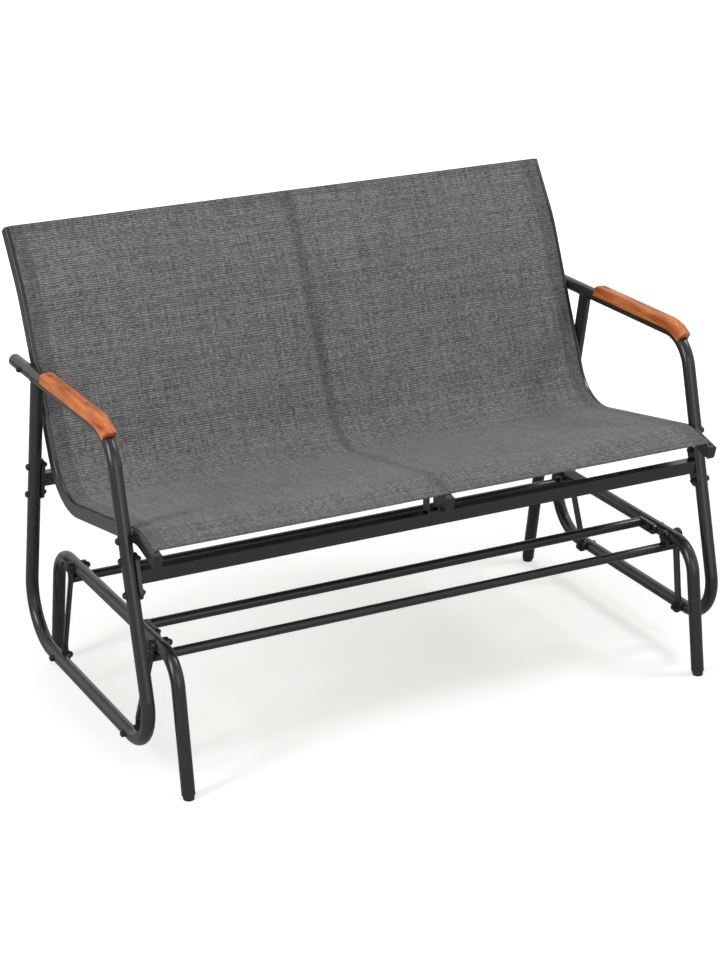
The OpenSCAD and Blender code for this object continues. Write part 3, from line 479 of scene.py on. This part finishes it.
# Sling: one section across, from slot to slot, carried along the rails' bent line. Each
# row is lifted by its hem's layers and each point by the dips between the rails
def slingPiece():
    line, far = benchLine(rail["corners"], cloth["step"], cloth["arcDegrees"])
    first, last = cloth["frontIn"], far[-1] - cloth["topIn"]
    hem, step, half = cloth["hem"], cloth["hemStep"], cloth["thick"] / 2
    # along: under layer of the hem, its roll, the upper layer, the step down and the body
    layer = cloth["layerPoints"]
    roll = np.linspace(0, math.pi, cloth["rollPoints"])
    flatHem = np.linspace(cloth["hemIn"], hem, layer)
    down = np.array([0.25, 0.5, 0.75, 1.0])
    hemS = np.concatenate([flatHem[::-1], cloth["rollIn"] - half * np.sin(roll), flatHem,
                           hem + step * down])
    drop = 1 - down
    hemH = np.concatenate([np.zeros(layer), half * (1 - np.cos(roll)), np.full(layer, 2 * half),
                           2 * half * (3 * drop ** 2 - 2 * drop ** 3)])
    bodyIn = hem + step + cloth["hemClear"]
    inside = far[(far > first + bodyIn) & (far < last - bodyIn)]
    s = np.concatenate([first + hemS, inside, (last - hemS)[::-1]])
    h = np.concatenate([hemH, np.zeros(len(inside)), hemH[::-1]])
    flat = lengthAlong(s, h)
    y, z, heading = (np.interp(s, far, line[:, k]) for k in range(3))

    # across: up out of the slot, round its lip and over to the middle
    lip, depth, columns = cloth["slotBend"], cloth["slotDepth"], cloth["columns"]
    quarter = np.linspace(0, math.pi / 2, cloth["lipPoints"])
    sideX = np.concatenate([[rail["x"], rail["x"]], rail["x"] - lip * (1 - np.cos(quarter)),
                            np.linspace(rail["x"] - lip, 0, columns + 1)[1:]])
    sideN = np.concatenate([[-depth, -(depth + lip) / 2], lip * (np.sin(quarter) - 1),
                            np.zeros(columns)])
    turnX = np.concatenate([[1, 1], np.cos(quarter), np.zeros(columns)])
    x = np.concatenate([-sideX, sideX[:-1][::-1]])
    n = np.concatenate([sideN, sideN[:-1][::-1]])
    outX = np.concatenate([-turnX, turnX[:-1][::-1]])
    outN = np.sqrt(np.clip(1 - outX ** 2, 0, 1))
    girth = lengthAlong(x, n)

    # off the rails' line: a parabola 4t(1 - t) between rails, a bell curve along them
    t = np.clip((np.abs(x) - rail["half"]) / (rail["x"] - 2 * rail["half"]), 0, 1)
    bow = 4 * t * (1 - t)
    bends = np.array([(cy - midY, cz) for cy, cz, _ in rail["corners"][1:4]])
    nearest = np.linalg.norm(line[None, :, :2] - bends[:, None], axis=2).argmin(1)
    pulls, reach = np.array(cloth["pulls"]), np.array(cloth["pullReach"])
    pull = (pulls * np.exp(-((s[:, None] - far[nearest]) / reach) ** 2)).sum(1)
    sway = np.sin(cloth["swayRate"] * s[:, None] + cloth["swayApart"] * np.sign(x)[None, :])
    relief = (pull[:, None] + cloth["sway"] * sway) * bow[None, :]
    # near the top the edges don't dive into the slots, because the caps close them there
    slotOpen = np.clip((far[-1] - cloth["slotEnd"] - s) / cloth["slotFade"], cloth["slotLeast"], 1)
    up = n[None, :] * slotOpen[:, None] + cloth["lift"] + h[:, None] * outN[None, :] + relief
    px = x[None, :] + h[:, None] * outX[None, :]
    points = np.stack([px, y[:, None] - np.sin(heading)[:, None] * up,
                       z[:, None] + np.cos(heading)[:, None] * up], -1).reshape(-1, 3)
    uv = np.stack(np.broadcast_arrays(girth[None, :] - girth[-1] / 2, flat[:, None]), -1)

    material = wovenSling(rail["x"], 2 * hem, flat[-1])  # a hem has two layers of its length
    piece = makePiece("sling_cloth", points, gridFaces(len(s), len(x)), material, "seat",
                      uv.reshape(-1, 2))
    solid = piece.modifiers.new("thickness", "SOLIDIFY")
    solid.thickness, solid.offset = cloth["thick"], 0.0
    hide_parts("sling")
    print("sling:", len(points), "points, cut", round(float(girth[-1]), 4), "by",
          round(float(flat[-1]), 4), "m")
    return piece


sling = slingPiece()

grip = {
    "corners": [(0.645, 0.631, 0), (0.174, 0.635, 0.075), (0.020, 0.084, 0)],
    "frameX": 0.597, "rearY": 0.486,
    "sweep": 36.0,  # degrees of the bend that the grip follows
    "half": 0.0130, "top": 0.0249, "below": -0.0031, "saddle": 0.01262,
    "cornerR": 0.0062, "lowerR": 0.0012, "saddleIn": 0.4,  # edges; the last a share of lowerR
    "rearRound": 0.0125, "frontRound": 0.004,
    "rearFull": 0.24, "frontFull": 0.86,  # how much of the section the very ends keep
    "endSkin": 1.09,  # the ends shrink to this much of the saddle's arc
    "step": 0.004, "arcDegrees": 2.0, "rings": 84, "edgePoints": 5, "sidePoints": 3,
}


# Section of a grip: over the tube from one lower edge to the other. Outside, a rectangle
# with its corners swept by a circle; inside, the tube's own arc, with as many points
def gripSection():
    half, top, below, r = grip["half"], grip["top"], grip["below"], grip["cornerR"]
    edge, count, sides = grip["lowerR"], grip["edgePoints"], grip["sidePoints"]
    bend = np.linspace(0, math.pi / 2, count)
    low = np.column_stack([half - edge + edge * np.sin(bend), -below + edge - edge * np.cos(bend)])
    side = np.column_stack([np.full(sides, half),
                            np.linspace(-below + edge, top - r, sides + 2)[1:-1]])
    high = np.column_stack([half - r + r * np.cos(bend), top - r + r * np.sin(bend)])
    crown = np.column_stack([np.linspace(half - r, 0, count + 1)[1:], np.full(count, top)])
    right = np.concatenate([low, side, high, crown])
    outer = np.concatenate([right, (right[:-1] * (-1, 1))[::-1]])
    start = -math.asin((below - edge * grip["saddleIn"]) / grip["saddle"])
    angle = np.linspace(start, math.pi - start, len(outer))
    return outer, grip["saddle"] * np.column_stack([np.cos(angle), np.sin(angle)])


# Quarter oval: 0 at the end of a grip, 1 where its rounding stops
def roundEnd(distance, reach):
    t = np.clip(distance / reach, 0, 1)
    return np.sqrt(1 - (1 - t) ** 2)


# Grip: its section carried along the arm's bent line, drawn in towards the saddle's arc
# by quarter ovals at both ends
def gripPiece(name, side, material):
    line, far = benchLine(grip["corners"], grip["step"], grip["arcDegrees"])
    start = far[np.argmin(np.abs(line[:, 0] - (grip["rearY"] - midY)))]
    bendStart = far[np.nonzero(np.abs(line[:, 2] - line[0, 2]) > 1e-6)[0][0] - 1]
    end = bendStart + grip["corners"][1][2] * math.radians(grip["sweep"])
    count = grip["rings"]
    w = np.linspace(0, 1, count)
    s = start + (end - start) * (3 * w ** 2 - 2 * w ** 3)  # closer rings at the ends
    y, z, heading = (np.interp(s, far, line[:, k]) for k in range(3))
    outer, inner = gripSection()
    rearFull, frontFull = grip["rearFull"], grip["frontFull"]
    full = ((rearFull + (1 - rearFull) * roundEnd(s - start, grip["rearRound"]))
            * (frontFull + (1 - frontFull) * roundEnd(end - s, grip["frontRound"])))
    skin = inner * grip["endSkin"]
    ring = skin[None] + (outer - skin)[None] * full[:, None, None]
    loop = np.concatenate([ring, np.broadcast_to(inner[::-1], (count, *inner.shape))], 1)
    # section x lies across, section y points out of the tube: on the right of the heading
    out = np.column_stack([np.sin(heading), -np.cos(heading)])
    points = np.stack([side * (grip["frameX"] + loop[..., 0]),
                       y[:, None] + out[:, :1] * loop[..., 1],
                       z[:, None] + out[:, 1:] * loop[..., 1]], -1).reshape(-1, 3)
    columns = loop.shape[1]
    k = np.arange(len(outer) - 1)
    capFirst = np.column_stack([k, k + 1, columns - 2 - k, columns - 1 - k])
    capLast = capFirst[:, ::-1] + (count - 1) * columns
    walls = gridFaces(count, columns, closeColumns=True)[:, ::-1]
    faces = np.concatenate([walls, capFirst, capLast])
    # mirrored faces run the other way round
    return makePiece(name, points, faces[:, ::side], material, "seat")


woodFinish = oiledWood()
for label, side in (("left", -1), ("right", 1)):
    grips = gripPiece("grip_" + label, side, woodFinish)
    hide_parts("armrest_" + label)
print("grips made")

weld = {
    "bead": 0.0015, "ripple": 0.00022, "ripples": 34, "along": 136, "around": 10,
    "tubeR": 0.0125,
    "armX": 0.597, "postFoot": (0.634, 0.084), "postTop": (0.529, 0.63198), "armLean": 0.00849,
    "lean": 0.7,  # how far the bead's outside looks down the upright
}


def unit(vectors):
    return vectors / np.linalg.norm(vectors, axis=-1, keepdims=True)


# Bead carried round a closed seam: circles of a rippling radius, square to the seam
def beadPiece(name, seam, away, body, material):
    count, around = weld["along"], weld["around"]
    along = unit(np.roll(seam, -1, 0) - np.roll(seam, 1, 0))
    out = unit(away - (away * along).sum(1, keepdims=True) * along)
    side = np.cross(along, out)
    turn = np.linspace(0, 2 * math.pi, around, endpoint=False)
    beat = weld["ripples"] / 2 * np.linspace(0, 2 * math.pi, count, endpoint=False)
    size = weld["bead"] + weld["ripple"] * np.abs(np.sin(beat))
    ring = (out[:, None] * np.cos(turn)[None, :, None]
            + side[:, None] * np.sin(turn)[None, :, None])
    points = (seam[:, None] + size[:, None, None] * ring).reshape(-1, 3)
    faces = gridFaces(count, around, closeRows=True, closeColumns=True)
    first, second, third = (points[faces[:, k]] for k in range(3))
    outward = points[faces].mean(1) - np.repeat(seam, around, 0)
    if (np.cross(second - first, third - first) * outward).sum() < 0:
        faces = faces[:, ::-1]
    piece = makePiece(name, points, faces, material, body)
    return piece


# Rear upright under the arm: round the upright's circle, slid along it to where its
# distance from the arm's axis is the tube radius
def uprightSeam(side):
    turn = np.linspace(0, 2 * math.pi, weld["along"], endpoint=False)
    foot, top = (np.array(weld[k]) for k in ("postFoot", "postTop"))
    way = unit(top - foot)
    across = np.array([way[1], -way[0]])
    up = np.array([math.sin(weld["armLean"]), math.cos(weld["armLean"])])
    r = weld["tubeR"]
    slide = (-r * np.abs(np.sin(turn)) - r * np.sin(turn) * (across @ up)) / (way @ up)
    yz = top + slide[:, None] * way + r * np.sin(turn)[:, None] * across
    seam = np.column_stack([side * (weld["armX"] + r * np.cos(turn)), yz[:, 0] - midY, yz[:, 1]])
    away = np.column_stack([side * np.cos(turn),
                            np.sin(turn)[:, None] * across - weld["lean"] * way])
    return seam, away


steel = powderCoat()
for label, side in (("left", -1), ("right", 1)):
    beadPiece("weld_arm_" + label, *uprightSeam(side), "seat", steel)
print("weld beads laid")

bySlot = {
    "frame_paint": steel,
    "hardware_black": blackFastener(),
    "plastic_black": mouldedPlastic("mouldedPlastic", moulded["capTone"], moulded["capRoughness"]),
    "rod_plastic": mouldedPlastic("rodPlastic", moulded["rodTone"], moulded["rodRoughness"]),
    "grip_wood": woodFinish,
    "sling_fabric": sling.data.materials[0],
}
for part in frame["record"]["subparts"]:
    mesh = nodes[part["node"]].data
    if not mesh.materials:
        mesh.materials.append(None)
    for i in range(len(mesh.materials)):
        mesh.materials[i] = bySlot[part["material_slot"]]
print("finishes set")

studio = {
    "floor": 0.80, "floorMirrored": 0.56, "floorHalf": 30.0,
    "floorLift": 0.495, "floorGlow": (1.0, 0.987, 0.950),  # light that only the camera sees
    "farLift": 0.45, "farFrom": 1.2, "farTo": 2.6,  # more of it far from the bench
    "world": 0.42,  # its light on the bench and floor; the camera and reflections see 1
    "darkSide": 0.40,  # how much darker reflections of the camera's side are
    "lamps": [  # place, what it looks at, width, height, power
        ((-3.4, -0.9, 2.15), (0.0, 0.0, 0.5), 0.9, 2.0, 60.0),
        ((2.5, -0.75, 3.3), (0.1, 0.0, 0.5), 0.9, 0.9, 34.0),
        ((0.2, 0.6, 3.6), (0.1, 0.0, 0.5), 2.4, 2.0, 16.0),
        ((-0.4, -4.6, 1.9), (0.0, 0.0, 0.6), 4.0, 3.0, 50.0),
    ],
}


# Pale floor, darker in reflections, with a glow that only the camera sees
def paleFloor():
    f = Finish("paleFloor", Roughness=0.9, Specular_IOR_Level=0.0)
    ray = f.add("ShaderNodeLightPath", out="Is Camera Ray")
    x, y, _ = f.split(f.place())
    far = ((x * x + y * y) ** 0.5).step(studio["farFrom"], studio["farTo"])
    glow = f.add("ShaderNodeEmission", {}, {
        "Color": (*studio["floorGlow"], 1.0),
        "Strength": ray * (studio["floorLift"] + far * studio["farLift"])})
    f.drive(Base_Color=f.blend(ray.output("Is Glossy Ray"), grey(studio["floor"]),
                               grey(studio["floorMirrored"])))
    both = f.add("ShaderNodeAddShader", {}, {0: Wire(f, f.shader.outputs[0]), 1: glow})
    f.feed(f.surface, both)
    return f.material


half = studio["floorHalf"]
floorMesh = bpy.data.meshes.new("floor")
floorMesh.from_pydata([(-half, -half, 0), (half, -half, 0), (half, half, 0), (-half, half, 0)],
                      [], [(0, 1, 2, 3)])
floorMesh.materials.append(paleFloor())
floor = addObject("floor", floorMesh)


# White surroundings: plain light for the bench, seen at full strength by the camera and
# in reflections, where the side behind the camera is darker
def whiteWorld():
    world = bpy.data.worlds.new("studio")
    bpy.context.scene.world = world
    world.use_nodes = True
    sky = Tree(world.node_tree)
    ray = sky.add("ShaderNodeLightPath", out="Is Camera Ray")
    mirrored = ray.output("Is Glossy Ray")
    direct = ray.high(mirrored).high(ray.output("Is Transmission Ray"))
    heading = sky.add("ShaderNodeTexCoord", out="Generated")
    facing = sky.add("ShaderNodeVectorMath", {"operation": "DOT_PRODUCT"},
                     {0: heading, 1: Vector(camera["place"]).normalized()}, out="Value")
    shade = facing.high(0.0) * mirrored * studio["darkSide"]
    strength = (direct * (1 - studio["world"]) + studio["world"]) * (1 - shade)
    background = world.node_tree.nodes["Background"].inputs
    sky.feed(background["Color"], (1, 1, 1, 1))
    sky.feed(background["Strength"], strength)


whiteWorld()
for i, (place, target, width, height, power) in enumerate(studio["lamps"]):
    lamp = bpy.data.lights.new(f"softbox{i}", "AREA")
    lamp.shape, lamp.size, lamp.size_y, lamp.energy = "RECTANGLE", width, height, power
    aim = (Vector(target) - Vector(place)).to_track_quat("-Z", "Y").to_matrix().to_4x4()
    addObject(f"softbox{i}", lamp).matrix_world = Matrix.Translation(place) @ aim
bpy.context.scene.view_settings.view_transform = "Standard"
print("studio ready")
